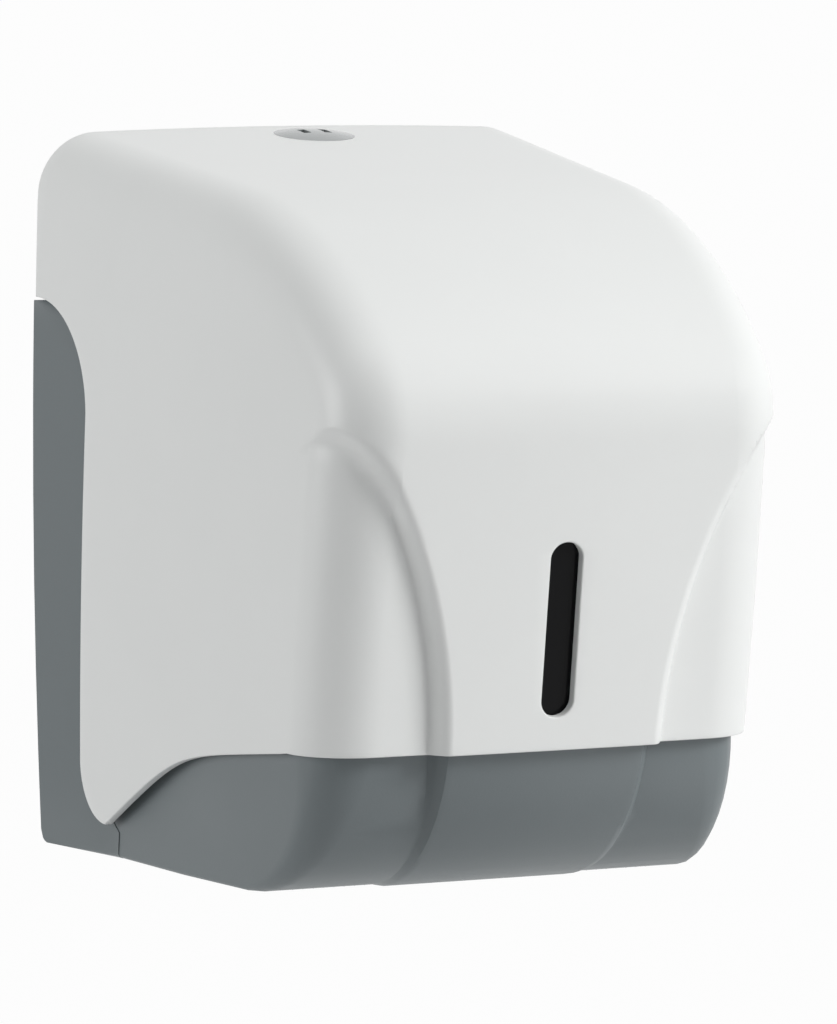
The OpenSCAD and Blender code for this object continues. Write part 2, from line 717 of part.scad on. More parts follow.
// places children on the inner face of the front, at the sight slot, facing inwards
module window_frame() {
  translate(at(0, front_pt(slot_z, cover_wall)))
    rotate([-90 + front_lean, 0, 0])
      rotate([0, 0, 180])
        children();
}
// places children on the top of the cover, at the lock, facing outwards
module lock_frame() {
  translate(at(0, lock_p))
    rotate([top_slope, 0, 0])
      children();
}
module slot_shape(r, l, h) {
  for (s = [-1, 1])
    translate([0, s * (l / 2 - r), 0])
      cylinder(h = h, r = r);
  translate([-r, -l / 2 + r, 0])
    cube([2 * r, l - 2 * r, h]);
}

module window() {
  color([0.06, 0.06, 0.06])
    window_frame()
      translate([0, 0, window_gap])
        difference() {
          slot_shape(window_half_w, 2 * window_half_l, window_t);
          for (s = [-1, 1])
            translate([s * peg_x, 0, -eps])
              cylinder(h = window_t + 2 * eps, r = peg_r + peg_play);
        }
}

module lock_bezel() {
  dome_r = (lock_r * lock_r + lock_dome_h * lock_dome_h) / (2 * lock_dome_h);
  color("silver")
    lock_frame()
      difference() {
        union() {
          intersection() {
            translate([0, 0, lock_dome_h - dome_r])
              sphere(dome_r, $fn = dome_fn);
            translate([0, 0, seat])
              cylinder(h = lock_dome_h + eps, r = lock_r);
          }
          translate([0, 0, -lock_stem_l])
            cylinder(h = lock_stem_l + eps, r = lock_stem_r);
        }
        translate([0, 0, -lock_stem_l - eps])
          cylinder(h = lock_stem_l + eps, r = lock_bore_r);
        for (s = [-1, 1])
          translate([s * key_x - key_w, -key_l, -key_cut])
            cube([2 * key_w, 2 * key_l, lock_dome_h + 2 * key_cut]);
      }
}

module lock_ring() {
  color("gray")
    lock_frame()
      translate([0, 0, -cover_wall / cos(top_slope) - seat - ring_t - ring_gap])
        difference() {
          cylinder(h = ring_t, r = ring_r);
          translate([0, 0, -eps])
            cylinder(h = ring_t + 2 * eps, r = lock_stem_r);
        }
}

module latch() {
  tooth_d = catch_d + tooth_gap;
  color("dimgray")
    difference() {
      union() {
        rod_x(-latch_half_w, latch_half_w, [latch_d, latch_z], latch_barrel_r);
        box(-latch_half_w, latch_half_w, latch_d, tooth_d + tooth_len, latch_arm_z - latch_arm_t / 2,
            latch_arm_z + latch_arm_t / 2);
        box(-latch_half_w, latch_half_w, tooth_d, tooth_d + tooth_len, latch_arm_z, tooth_top);
      }
      rod_x(-latch_half_w - eps, latch_half_w + eps, [latch_d, latch_z], latch_pin_r + latch_play);
    }
}

module latch_pin() {
  reach = latch_half_w + lug_gap + lug_t;
  color("lightgray")
    rod_x(-reach, reach, [latch_d, latch_z], latch_pin_r);
}

module latch_spring() {
  color("lightgray")
    translate(at(0, [latch_spring_d, shelf_z + seat]))
      coil(latch_spring_r, spring_wire, latch_spring_turns,
           latch_arm_z - latch_arm_t / 2 - shelf_z - 2 * seat);
}

module hinge_pins() {
  color("lightgray")
    for (sx = [-1, 1]) {
      rod_x(sx * (pin_boss_x - pin_head_l), sx * (pin_boss_x - seat), [hinge_d, hinge_z], pin_head_r);
      rod_x(sx * (pin_boss_x - pin_head_l), sx * pin_tip_x, [hinge_d, hinge_z], hinge_pin_r);
    }
}

module arm(sx) {
  color("gainsboro")
    difference() {
      union() {
        arm_plate(sx);
        rod_x(sx * arm_in_x, sx * arm_out_x, [spindle_d, spindle_z], arm_boss_r);
        box(sx > 0 ? arm_out_x - arm_foot_w : -arm_out_x, sx > 0 ? arm_out_x : -arm_out_x + arm_foot_w,
            arm_foot_d + seat, arm_foot_d + arm_foot_t, spindle_z - arm_foot_h, spindle_z + arm_foot_h);
      }
      rod_x(sx * (arm_in_x - eps), sx * (arm_out_x + eps), [spindle_d, spindle_z], pin_r + pin_play);
      for (sz = [-1, 1])
        rod_d(sx * arm_screw_x, spindle_z + sz * arm_screw_z, arm_foot_d - eps,
              arm_foot_d + arm_foot_t + eps, arm_screw_r + screw_play);
    }
}

// tapering web of an arm from its foot to its boss
module arm_plate(sx) {
  reach = arm_boss_r - web_short;
  translate([sx > 0 ? arm_out_x - arm_t : -arm_out_x, 0, 0])
    rotate([90, 0, 90])
      linear_extrude(arm_t)
        polygon([[-arm_foot_d - eps, spindle_z - arm_foot_h], [-arm_foot_d - eps, spindle_z + arm_foot_h],
                 [-spindle_d, spindle_z + reach], [-spindle_d, spindle_z - reach]]);
}
module arm_left() {
  arm(-1);
}
module arm_right() {
  arm(1);
}

module arm_screws() {
  color("lightgray")
    for (sx = [-1, 1], sz = [-1, 1]) {
      rod_d(sx * arm_screw_x, spindle_z + sz * arm_screw_z, arm_foot_d + arm_foot_t + seat,
            arm_foot_d + arm_foot_t + arm_head_l, arm_head_r);
      rod_d(sx * arm_screw_x, spindle_z + sz * arm_screw_z, arm_foot_d - arm_shank_l + arm_foot_t,
            arm_foot_d + arm_foot_t + eps, arm_screw_r);
    }
}

module spindle_outer() {
  color("whitesmoke")
    difference() {
      union() {
        rod_x(-spindle_end, tube_split_x, [spindle_d, spindle_z], tube_r);
        rod_x(-spindle_end - spindle_pin_l, -spindle_end + eps, [spindle_d, spindle_z], pin_r);
      }
      rod_x(-spindle_end + end_t, tube_split_x + eps, [spindle_d, spindle_z], core_r + core_play);
    }
}

module spindle_inner() {
  color("whitesmoke")
    difference() {
      union() {
        rod_x(core_start_x, spindle_end - eps, [spindle_d, spindle_z], core_r);
        rod_x(spindle_end - cap_l, spindle_end, [spindle_d, spindle_z], tube_r);
        rod_x(spindle_end - eps, spindle_end + spindle_pin_l, [spindle_d, spindle_z], pin_r);
      }
      rod_x(core_start_x + end_t, spindle_end - cap_l, [spindle_d, spindle_z], core_r - core_wall);
    }
}

module spindle_spring() {
  x0 = -spindle_end + end_t + seat;
  color("lightgray")
    translate(at(x0, [spindle_d, spindle_z]))
      rotate([0, 90, 0])
        coil(spring_r, spring_wire, spring_turns, core_start_x - seat - x0);
}

module tear_bar() {
  teeth = floor(2 * (outlet_half_w - tear_side_gap) / tooth_pitch);
  half = teeth * tooth_pitch / 2;
  color("silver")
    translate([0, -outlet_front_d + seat + tear_t, 0])
      rotate([90, 0, 0])
        linear_extrude(tear_t)
          difference() {
            polygon(concat([for (i = [0 : teeth - 1]) each [
                [-half + i * tooth_pitch, tear_low + tooth_h],
                [-half + (i + 0.5) * tooth_pitch, tear_low]]],
              [[half, tear_low + tooth_h], [half, tear_low + tear_h], [-half, tear_low + tear_h]]));
            for (s = [-1, 1])
              translate([s * tear_screw_x, tear_hole_z])
                circle(tear_screw_r + peg_play);
          }
}

module tear_screws() {
  front = outlet_front_d - tear_t - 2 * seat;
  color("lightgray")
    for (s = [-1, 1]) {
      rod_d(s * tear_screw_x, tear_hole_z, front - tear_head_l, front, tear_head_r);
      rod_d(s * tear_screw_x, tear_hole_z, front - tear_head_l / 2, outlet_front_d + tear_shank_l,
            tear_screw_r);
    }
}

// moves a piece so that the middle of the wall screws is the origin
module placed() {
  translate([0, 0, -mount_z])
    children();
}

placed() base();
placed() cover();
placed() window();
placed() lock_bezel();
placed() lock_ring();
placed() latch();
placed() latch_pin();
placed() latch_spring();
placed() hinge_pins();
placed() arm_left();
placed() arm_right();
placed() arm_screws();
placed() spindle_outer();
placed() spindle_inner();
placed() spindle_spring();
placed() tear_bar();
placed() tear_screws();
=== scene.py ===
import math

import bmesh
import bpy
import numpy as np
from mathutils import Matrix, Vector


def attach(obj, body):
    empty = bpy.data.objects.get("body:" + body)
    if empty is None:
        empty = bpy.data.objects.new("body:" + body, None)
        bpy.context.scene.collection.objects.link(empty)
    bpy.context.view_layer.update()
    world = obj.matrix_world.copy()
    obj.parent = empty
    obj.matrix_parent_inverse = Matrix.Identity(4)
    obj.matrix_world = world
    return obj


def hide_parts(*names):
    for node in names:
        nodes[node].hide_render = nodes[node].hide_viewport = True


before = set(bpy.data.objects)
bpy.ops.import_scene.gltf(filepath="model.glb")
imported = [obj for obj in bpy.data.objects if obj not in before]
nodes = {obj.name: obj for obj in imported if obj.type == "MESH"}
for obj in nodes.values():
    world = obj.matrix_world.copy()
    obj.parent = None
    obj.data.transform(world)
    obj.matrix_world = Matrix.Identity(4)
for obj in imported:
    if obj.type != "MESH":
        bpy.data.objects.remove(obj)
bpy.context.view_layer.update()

# Back moulding and tray: one grey injection moulding that is screwed to the wall. Its strips show at
# the sides behind the cover, and its tray shows under the cover and has the paper's outlet in its floor.
mm = 0.001


def shader_node(tree, kind, **values):
    node = tree.nodes.new(kind)
    for name, value in values.items():
        setattr(node, name, value)
    return node


def noise(tree, place, scale, detail):
    texture = shader_node(tree, "ShaderNodeTexNoise")
    texture.inputs["Scale"].default_value = scale
    texture.inputs["Detail"].default_value = detail
    tree.links.new(place, texture.inputs["Vector"])
    return texture.outputs["Fac"]


def two_tones(tree, value, tones, ends):
    """A colour between two tones, which the value reaches at the two ends."""
    ramp = shader_node(tree, "ShaderNodeValToRGB")
    for element, tone, end in zip(ramp.color_ramp.elements, tones, ends):
        element.position = end
        element.color = list(tone) + [1]
    tree.links.new(value, ramp.inputs["Fac"])
    return ramp.outputs["Color"]


def spread(tree, value, low, high, from_low=0, from_high=1):
    """The value, carried over from its own range to the range from low to high."""
    carry = shader_node(tree, "ShaderNodeMapRange")
    carry.inputs["From Min"].default_value = from_low
    carry.inputs["From Max"].default_value = from_high
    carry.inputs["To Min"].default_value = low
    carry.inputs["To Max"].default_value = high
    tree.links.new(value, carry.inputs["Value"])
    return carry.outputs["Result"]


def bump(tree, height, strength, distance, under=None):
    """A relief of the skin, on top of another one where that is given."""
    relief_node = shader_node(tree, "ShaderNodeBump")
    relief_node.inputs["Strength"].default_value = strength
    relief_node.inputs["Distance"].default_value = distance
    tree.links.new(height, relief_node.inputs["Height"])
    if under:
        tree.links.new(under, relief_node.inputs["Normal"])
    return relief_node.outputs["Normal"]


def moulded_plastic(name, colour, roughness, grain, peel, mottle=0.02, shine=0.5, crease_shade_tone=0.6):
    """Plastic out of a steel mould: fine grain, slow waves of the skin, faint flow marks, and painted shade
    that darkens the colour in its creases.
    """
    material = bpy.data.materials.new(name)
    material.use_nodes = True
    tree = material.node_tree
    link = tree.links.new
    shell = tree.nodes["Principled BSDF"]
    shell.inputs["Specular IOR Level"].default_value = shine
    place = shader_node(tree, "ShaderNodeTexCoord").outputs["Object"]
    flow = noise(tree, place, scale=22, detail=3)
    tones = [[min(1, c * change) for c in colour] for change in (1 - mottle, 1 + mottle)]
    tint = two_tones(tree, flow, tones, ends=(0.3, 0.7))
    # Painted shade: the colour is darkened wherever the piece's own skin closes round a point within 2 mm,
    # as in creases and hollows.
    crease_occlusion = shader_node(tree, "ShaderNodeAmbientOcclusion", samples=8, only_local=True)
    crease_occlusion.inputs["Distance"].default_value = 2 * mm
    painted_crease_shade = spread(tree, crease_occlusion.outputs["AO"], crease_shade_tone, 1, from_low=0.6, from_high=0.86)
    crease_shaded_tint = shader_node(tree, "ShaderNodeMix", data_type="RGBA", blend_type="MULTIPLY")
    crease_shaded_tint.inputs["Factor"].default_value = 1
    # A colour mix has its two colours in sockets 6 and 7, and gives its result in 2.
    link(tint, crease_shaded_tint.inputs[6])
    link(painted_crease_shade, crease_shaded_tint.inputs[7])
    link(crease_shaded_tint.outputs[2], shell.inputs["Base Color"])
    link(spread(tree, flow, roughness - 0.04, roughness + 0.04), shell.inputs["Roughness"])
    waves = bump(tree, noise(tree, place, scale=140, detail=1), peel, 0.2 * mm)
    skin = bump(tree, noise(tree, place, scale=1600, detail=2), grain, 0.1 * mm, under=waves)
    link(skin, shell.inputs["Normal"])
    return material


def finish_in(piece, material):
    piece.data.materials.clear()
    piece.data.materials.append(material)


def smooth_over(piece, sharpest):
    """Joins a CAD node's loose facets and shades it smooth, except across edges sharper than given."""
    group = bpy.data.node_groups.new("smooth_" + piece.name, "GeometryNodeTree")
    group.interface.new_socket("Geometry", in_out="INPUT", socket_type="NodeSocketGeometry")
    group.interface.new_socket("Geometry", in_out="OUTPUT", socket_type="NodeSocketGeometry")
    start = group.nodes.new("NodeGroupInput")
    end = group.nodes.new("NodeGroupOutput")
    weld = group.nodes.new("GeometryNodeMergeByDistance")
    weld.inputs["Distance"].default_value = 0.005 * mm
    faces = group.nodes.new("GeometryNodeSetShadeSmooth")
    edges = group.nodes.new("GeometryNodeSetShadeSmooth")
    edges.domain = "EDGE"
    edges.inputs["Shade Smooth"].default_value = False
    angle = group.nodes.new("GeometryNodeInputMeshEdgeAngle")
    sharp = group.nodes.new("FunctionNodeCompare")
    sharp.operation = "GREATER_THAN"
    sharp.inputs[1].default_value = math.radians(sharpest)
    join = group.links.new
    join(start.outputs[0], weld.inputs["Geometry"])
    join(weld.outputs["Geometry"], faces.inputs["Geometry"])
    join(faces.outputs["Geometry"], edges.inputs["Geometry"])
    join(angle.outputs["Unsigned Angle"], sharp.inputs[0])
    join(sharp.outputs["Result"], edges.inputs["Selection"])
    join(edges.outputs["Geometry"], end.inputs[0])
    piece.modifiers.new("smooth", "NODES").node_group = group


# The grey carries light painted shade in its creases.
grey_satin = moulded_plastic("grey_satin", (0.157, 0.18, 0.188), roughness=0.42, grain=0.25, peel=0.05,
                             shine=0.3, crease_shade_tone=0.72)
finish_in(nodes["base"], grey_satin)
smooth_over(nodes["base"], sharpest=28)

# Roll holder: two light plastic brackets on the back plate, each held by two screws, and a white
# spindle in two halves that a spring pushes apart into the brackets.
light_satin = moulded_plastic("light_satin", (0.5, 0.52, 0.53), roughness=0.4, grain=0.25, peel=0.05)
spindle_white = moulded_plastic("spindle_white", (0.74, 0.74, 0.72), roughness=0.32, grain=0.15, peel=0.06)
for name in ("arm_left", "arm_right"):
    finish_in(nodes[name], light_satin)
    smooth_over(nodes[name], sharpest=30)
for name in ("spindle_outer", "spindle_inner"):
    finish_in(nodes[name], spindle_white)
    smooth_over(nodes[name], sharpest=30)

# Pins, screws and springs: plain zinc plated steel. The pins are pressed into the base, the screws
# hold the brackets and the tear bar, the springs work the latch and the spindle, and a ring pushed on
# the lock's stem holds the lock in the cover.


def drawn_metal(name, colour, roughness, grain_across, metallic=1):
    """Metal with the fine lines that drawing, turning or brushing leaves along the piece."""
    material = bpy.data.materials.new(name)
    material.use_nodes = True
    tree = material.node_tree
    link = tree.links.new
    shell = tree.nodes["Principled BSDF"]
    shell.inputs["Metallic"].default_value = metallic
    stretch = shader_node(tree, "ShaderNodeMapping")
    stretch.inputs["Scale"].default_value = grain_across
    link(shader_node(tree, "ShaderNodeTexCoord").outputs["Object"], stretch.inputs["Vector"])
    lines = noise(tree, stretch.outputs["Vector"], scale=60, detail=4)
    tint = two_tones(tree, lines, ([0.86 * c for c in colour], colour), ends=(0, 1))
    link(tint, shell.inputs["Base Color"])
    link(spread(tree, lines, max(0.04, roughness - 0.08), roughness + 0.08), shell.inputs["Roughness"])
    link(bump(tree, lines, 0.12, 0.05 * mm), shell.inputs["Normal"])
    return material


zinc_steel = drawn_metal("zinc_steel", (0.55, 0.56, 0.57), roughness=0.34, grain_across=(1, 12, 12))
for name in ("hinge_pins", "latch_pin", "latch_spring", "arm_screws", "spindle_spring", "tear_screws",
             "lock_ring"):
    finish_in(nodes[name], zinc_steel)
    smooth_over(nodes[name], sharpest=40)

# Tear bar: a strip of brushed stainless steel with a toothed lower edge, screwed to the tray at the
# front of the paper outlet.
brushed_strip = drawn_metal("brushed_strip", (0.6, 0.61, 0.62), roughness=0.3, grain_across=(1, 30, 30))
finish_in(nodes["tear_bar"], brushed_strip)
smooth_over(nodes["tear_bar"], sharpest=30)

# Latch: a dark plastic lever on a pin at the top of the back plate, pushed up by a coil spring. The
# key presses it through the lock to free the cover.
dark_satin = moulded_plastic("dark_satin", (0.05, 0.05, 0.055), roughness=0.45, grain=0.3, peel=0.05)
finish_in(nodes["latch"], dark_satin)
smooth_over(nodes["latch"], sharpest=30)

# Cover: one white glossy moulding, 2.5 mm thick, hinged on two pins low at the sides. Its front is a
# raised panel that widens upwards into the nose, with a recess on each side of it. Sizes are in mm, as
# in the part's source, and a side-view point is (depth from the wall, height above the underside).
case_height = 199.8
case_width = 156.6
case_depth = 184.2
side_taper = 0.076
side_bulge = 2
cover_wall = 2.5
wall_gap = 0.8
top_slope = 7.2
turn_mid = 45.2
nose_r = 31.3
brow_r = 132
front_lean = 8.3
edge_height = 41
shoulder_back_r = 17.2
shoulder_front_r = 17.8
front_crown = 1.6
panel_half_w = 31.2
panel_arc_r = 153
panel_arc_height = 39.4
step_low = 5.3
step_high = 4.8
step_grade = 2.1
step_soft = 4.2
step_tuck = 0.6
crease_soft = 1.2
corner_thin = 0.7
hinge = np.array((40.2, 25.2))
ear_run = 14
ear_drop = 15.8
strip_top = 153
strip_arc_h = 31
strip_depth = 32.6
wave_slope = 0.56
wave_fall = 0.115
wave_soft = 3.8


def half_width(depth, height):
    return case_width / 2 - side_taper * depth - side_bulge * (2 * height / case_height - 1) ** 2


def in_frame(x, depth, height):
    """A point in metres, about the middle of the wall screws, which is half way up the case."""
    return (x * mm, -depth * mm, (height - case_height / 2) * mm)


def sin_deg(angle):
    return math.sin(math.radians(angle))


def cos_deg(angle):
    return math.cos(math.radians(angle))


def tan_deg(angle):
    return math.tan(math.radians(angle))


brow_reach = (nose_r - brow_r) * sin_deg(turn_mid)
line_depth = case_depth - nose_r + brow_reach + brow_r * sin_deg(top_slope)
nose_height = (case_height - line_depth * tan_deg(top_slope) - (nose_r - brow_r) * cos_deg(turn_mid)
               - brow_r * cos_deg(top_slope))
nose_centre = np.array((case_depth - nose_r, nose_height))
brow_centre = nose_centre + (nose_r - brow_r) * np.array((sin_deg(turn_mid), cos_deg(turn_mid)))
lean_turn = 90 + front_lean


def turn_point(angle, inset):
    """A point of the side profile's two arcs, the brow and the nose, set in by inset."""
    centre, radius = (nose_centre, nose_r) if angle > turn_mid else (brow_centre, brow_r)
    return centre + (radius - inset) * np.array((sin_deg(angle), cos_deg(angle)))


def top_point(depth, inset):
    brow_start = turn_point(top_slope, inset)
    return np.array((depth, brow_start[1] + (brow_start[0] - depth) * tan_deg(top_slope)))


def front_point(height, inset):
    nose_end = turn_point(lean_turn, inset)
    return np.array((nose_end[0] - (nose_end[1] - height) * tan_deg(front_lean), height))


def soft_max(a, b, k):
    """The greater of two values, with the change from one to the other rounded over k."""
    return np.maximum(a, b) + np.maximum(0, k - np.abs(a - b)) ** 2 / (4 * k)


def soft_min(a, b, k):
    return -soft_max(-a, -b, k)


def corner_drop(x, start, r):
    return np.where(x < start, 0, r - np.sqrt(np.maximum(0, r * r - (x - start) ** 2)))


def relief(x, corner, panel, step, r):
    """How far the front lies under its profile: the panel's step, the recess and the round corner."""
    drop = corner_drop(x, corner - r, r)
    raised = np.maximum(soft_max(0 * x, (x - panel) * step_grade, step_soft), drop)
    return soft_min(raised, step + drop, crease_soft)


panel_columns = 8
step_columns = 23
recess_columns = 5
corner_columns = 15
step_reach = 0.9 * step_soft


def half_section(point, inward, panel, step, r, inset, crown):
    """Half of a cross section: x and the depth under the profile, from the middle to the corner's end."""
    first = half_width(*point) - inset
    drop = relief(np.array(first), first, panel, step, r)
    corner = half_width(*(point + inward * float(drop))) - inset
    run = step / step_grade
    edge = min(panel, corner - r - run - step_soft)
    step_start, step_end = edge - step_reach, edge + run + step_reach
    turns = np.radians(np.linspace(0, 90, corner_columns))
    x = np.concatenate((np.linspace(0, step_start, panel_columns, endpoint=False),
                        np.linspace(step_start, step_end, step_columns),
                        np.linspace(step_end, corner - r, recess_columns + 2)[1:-1],
                        corner - r + r * np.sin(turns)))
    return x, relief(x, corner, panel, step, r) + crown * (2 * x / case_width) ** 2


strip_centre = np.array((wall_gap, strip_top - strip_arc_h))
strip_reach = strip_depth - wall_gap
ear_tip = hinge - np.array((0, ear_drop))
arc_share = 0.35
straight_share = 0.4


def back_edge(share):
    """The side's back edge: the arc of the grey strip, a straight line and the round of the ear."""
    if share < arc_share:
        a = 90 * share / arc_share
        return strip_centre + np.array((strip_reach * sin_deg(a), strip_arc_h * cos_deg(a)))
    low = hinge - np.array((ear_run, 0))
    if share < arc_share + straight_share:
        high = strip_centre + np.array((strip_reach, 0))
        return high + (low - high) * (share - arc_share) / straight_share
    a = 90 * (share - arc_share - straight_share) / (1 - arc_share - straight_share)
    return hinge - np.array((ear_run * cos_deg(a), ear_drop * sin_deg(a)))


wave_start = front_point(edge_height, 0)[0] - step_low - shoulder_front_r


def wave_height(depth):
    """The side's lower edge: a slope up from the ear that bends softly into the front's edge."""
    low = ear_tip[1] + wave_slope * (depth - ear_tip[0])
    high = edge_height - wave_fall * (wave_start - depth)
    return -wave_soft * math.log(math.exp(-low / wave_soft) + math.exp(-high / wave_soft))


def mix(a, b, t):
    return a + (b - a) * t


def cover_row(kind, share, inset):
    """A row of the cover: its profile point, the turn of its section and its corner radius."""
    if kind == "top":
        point, turn = top_point(mix(wall_gap, turn_point(top_slope, inset)[0], share), inset), 0
    elif kind == "turn":
        point = turn_point(share, inset)
        turn = min(90, (share - top_slope) * 90 / (90 - top_slope))
    else:
        point = front_point(mix(turn_point(lean_turn, inset)[1], edge_height, share), inset)
        turn = 90
    return point, turn, mix(shoulder_back_r, shoulder_front_r, turn / 90) - corner_thin * inset


top_rows = 18
brow_rows = 24
nose_rows = 30
front_rows = 53
side_columns = 40
cover_rows = ([("top", share) for share in np.linspace(0, 1, top_rows, endpoint=False)]
              + [("turn", angle) for angle in np.linspace(top_slope, turn_mid, brow_rows, endpoint=False)]
              + [("turn", angle) for angle in np.linspace(turn_mid, lean_turn, nose_rows, endpoint=False)]
              + [("front", share) for share in np.linspace(0, 1, front_rows)])
side_steps = np.linspace(0, 1, side_columns + 1)[1:]


def cover_surface(inset):
    """The cover's surface set in by inset, as rows of points from the left edge to the right edge.

    Each side wall is a patch between the corner, the back edge, the top edge and the lower edge, where u
    runs down along the rows and v runs back from the corner.
    """
    cut = []
    for kind, share in cover_rows:
        point, turn, r = cover_row(kind, share, inset)
        inward = -np.array((sin_deg(turn), cos_deg(turn)))
        rise = max(0.0, min(1.0, (point[1] - panel_arc_height) / panel_arc_r))
        panel = panel_half_w + panel_arc_r * (1 - math.sqrt(1 - rise * rise)) - step_tuck * inset
        step = mix(step_low, step_high, (point[1] - edge_height) / (nose_height - edge_height))
        x, depth = half_section(point, inward, panel, step, r, inset, front_crown)
        cut.append((x, point + np.outer(depth, inward)))
    ends = [place[-1] for _, place in cut]
    first, last = ends[0], ends[-1]
    top, tip = back_edge(0), back_edge(1)
    grid = []
    for i, (x, place) in enumerate(cut):
        u = i / (len(cut) - 1)
        row = [in_frame(a, *p) for a, p in zip(x, place)]
        for v in side_steps:
            reach = mix(last[0], tip[0], v)
            lower = tip if v == 1 else np.array((reach, wave_height(reach)))
            spot = ((1 - v) * ends[i] + v * back_edge(u) + (1 - u) * mix(first, top, v) + u * lower
                    - (1 - u) * (1 - v) * first - u * (1 - v) * last - (1 - u) * v * top - u * v * tip)
            row.append(in_frame(half_width(*spot) - inset, *spot))
        grid.append([(-a, b, c) for a, b, c in row[:0:-1]] + row)
    return np.array(grid)


def shell_mesh(name, outer, inner):
    """A closed skin between two grids of points, with its rim marked for rounding."""
    rows, columns = outer.shape[:2]
    count = rows * columns
    index = np.arange(count).reshape(rows, columns)
    faces = []
    for i in range(rows - 1):
        for j in range(columns - 1):
            a, b, c, d = index[i, j], index[i, j + 1], index[i + 1, j + 1], index[i + 1, j]
            faces += [(a, b, c, d), (a + count, d + count, c + count, b + count)]
    loop = list(index[0, :-1]) + list(index[:-1, -1]) + list(index[-1, :0:-1]) + list(index[:0:-1, 0])
    for a, b in zip(loop, loop[1:] + loop[:1]):
        faces.append((b, a, a + count, b + count))
    mesh = bpy.data.meshes.new(name)
    points = np.concatenate((outer.reshape(-1, 3), inner.reshape(-1, 3)))
    mesh.from_pydata(points.tolist(), [], [[int(k) for k in f] for f in faces])
    shape = bmesh.new()
    shape.from_mesh(mesh)
    bmesh.ops.recalc_face_normals(shape, faces=shape.faces)
    weight = shape.edges.layers.float.new("bevel_weight_edge")
    shape.verts.ensure_lookup_table()
    for a, b in zip(loop, loop[1:] + loop[:1]):
        for shift in (0, count):
            edge = shape.edges.get((shape.verts[int(a) + shift], shape.verts[int(b) + shift]))
            edge[weight] = 1
    shape.to_mesh(mesh)
    shape.free()
    piece = bpy.data.objects.new(name, mesh)
    bpy.context.scene.collection.objects.link(piece)
    return piece


def ring_solid(name, rings):
    """A closed solid through rings of points, to be joined to the cover or cut from it."""
    mesh = bpy.data.meshes.new(name)
    n = len(rings[0])
    faces = [tuple(range(n))[::-1], tuple(range((len(rings) - 1) * n, len(rings) * n))]
    for k in range(len(rings) - 1):
        for i in range(n):
            a, b = k * n + i, k * n + (i + 1) % n
            faces.append((a, b, b + n, a + n))
    mesh.from_pydata([tuple(p) for ring in rings for p in ring], [], faces)
    piece = bpy.data.objects.new(name, mesh)
    bpy.context.scene.collection.objects.link(piece)
    return piece


def settle(piece, tools, sharpest):
    """Applies the piece's modifiers, removes the solids that they used and shades the piece smooth."""
    bpy.context.view_layer.update()
    shaped = piece.evaluated_get(bpy.context.evaluated_depsgraph_get())
    mesh = bpy.data.meshes.new_from_object(shaped)
    piece.modifiers.clear()
    piece.data = mesh
    for tool in tools:
        bpy.data.objects.remove(tool)
    for face in mesh.polygons:
        face.use_smooth = True
    mesh.set_sharp_from_angle(angle=math.radians(sharpest))


def full_turn(count):
    return 2 * math.pi * np.arange(count) / count


def on_skin(middle, turn, x, along, out):
    """A point about a middle on the skin: along runs forward over the top or down the front."""
    return in_frame(x, middle[0] + along * cos_deg(turn) + out * sin_deg(turn),
                    middle[1] - along * sin_deg(turn) + out * cos_deg(turn))


slot_half_w = 4.6
slot_length = 47
slot_height = 73.1
slot_rim = 0.5
slot_cut_in = 8
slot_cut_out = 4


def slot_ring(r, out):
    """An outline of the sight slot, grown to radius r, at a distance out from the front's face."""
    straight = slot_length / 2 - slot_half_w
    middle = front_point(slot_height, 0)
    ring = []
    for a in full_turn(48):
        up = r * math.sin(a) + (straight if math.sin(a) > 1e-9 else -straight)
        ring.append(on_skin(middle, lean_turn, r * math.cos(a), -up, out))
    return ring


slot_rings = [slot_ring(slot_half_w, -slot_cut_in)]
slot_rings += [slot_ring(slot_half_w + slot_rim * (1 - math.cos(a)), slot_rim * (math.sin(a) - 1))
               for a in np.radians(np.linspace(0, 90, 6))]
slot_rings += [slot_ring(slot_half_w + slot_rim, slot_cut_out)]

lock_depth = 17.5
lock_stem_r = 7.6
lock_cut = 8
lock_place = top_point(lock_depth, 0)
lock_rings = [[on_skin(lock_place, top_slope, lock_stem_r * math.cos(a), lock_stem_r * math.sin(a), out)
               for a in full_turn(40)] for out in (-lock_cut, lock_cut)]

boss_r = 5.5
boss_height = 0.9
boss_sunk = 0.6
bore_r = 2.55
bore_clear = 0.5
ear_skin = 1
ear_x = half_width(*hinge)
boss_x = ear_x - cover_wall - boss_height


def hinge_rings(side, near, far, r):
    """Two circles round the hinge axis, to make a boss or a bore of a hinge ear."""
    return [[in_frame(side * x, hinge[0] + r * math.cos(a), hinge[1] + side * r * math.sin(a))
             for a in full_turn(48)] for x in (near, far)]


rib_depth = 38.5
rib_thickness = 2.5
rib_half_w = 12
rib_height = 6
rib_sunk = 0.8
rib_under = top_point(rib_depth, cover_wall)[1]
rib_corners = ((-rib_half_w, rib_depth), (rib_half_w, rib_depth),
               (rib_half_w, rib_depth - rib_thickness), (-rib_half_w, rib_depth - rib_thickness))
rib_rings = [[in_frame(x, depth, height) for x, depth in rib_corners]
             for height in (rib_under - rib_height, rib_under + rib_sunk)]

peg_r = 1.5
peg_length = 3.2
peg_round = 0.4
peg_sunk = 0.8
peg_x = slot_half_w + 3.6


def peg_rings(x):
    """Circles along one of the pegs that hold the window, with a rounded end."""
    foot = front_point(slot_height, cover_wall)
    lengths = ((peg_sunk, peg_r), (peg_round - peg_length, peg_r), (-peg_length, peg_r - peg_round))
    return [[on_skin(foot, lean_turn, x + r * math.cos(a), -r * math.sin(a), out)
             for a in full_turn(24)][::-1] for out, r in lengths]


